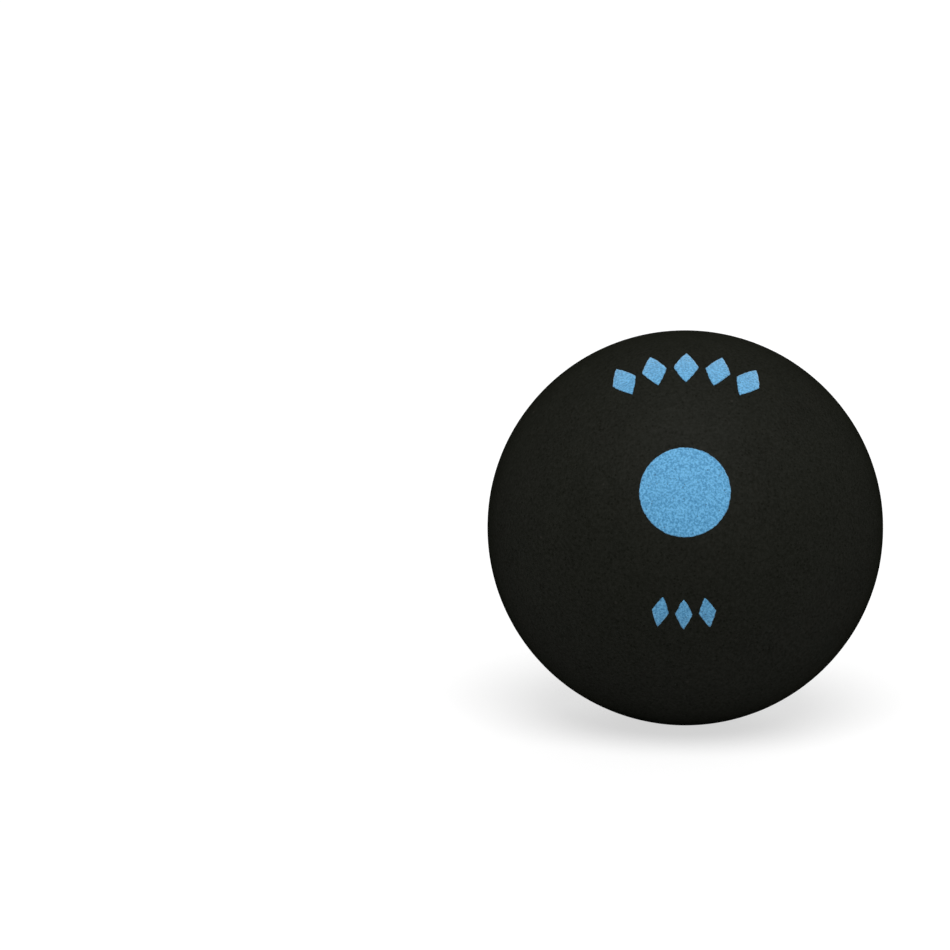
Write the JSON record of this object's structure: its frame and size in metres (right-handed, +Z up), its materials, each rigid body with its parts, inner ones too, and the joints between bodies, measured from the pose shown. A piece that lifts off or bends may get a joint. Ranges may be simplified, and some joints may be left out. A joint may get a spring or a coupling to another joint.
{
  "type": "squash ball",
  "caption": "Hollow black rubber ball bonded from moulded half shells, with a light blue grade dot and lozenges printed on the front.",
  "frame": {"origin": "centre of the ball", "axes": "+Z up, -Y towards the viewer through the pole of the front half shell, +X to the viewer's right; the seam lies in the XZ plane"},
  "size_m": [0.045, 0.045, 0.045],
  "materials": {
    "rubber": "buffed matte black rubber",
    "adhesive": "cured rubber solution, smooth satin",
    "ink": "matte light blue pad-printed ink"
  },
  "bodies": {
    "root": {"front_half_shell": "rubber", "rear_half_shell": "rubber", "seam_adhesive": "adhesive", "grade_dot_ink": "ink", "upper_lozenges_ink": "ink", "lower_lozenges_ink": "ink"}
  },
  "joints": []
}
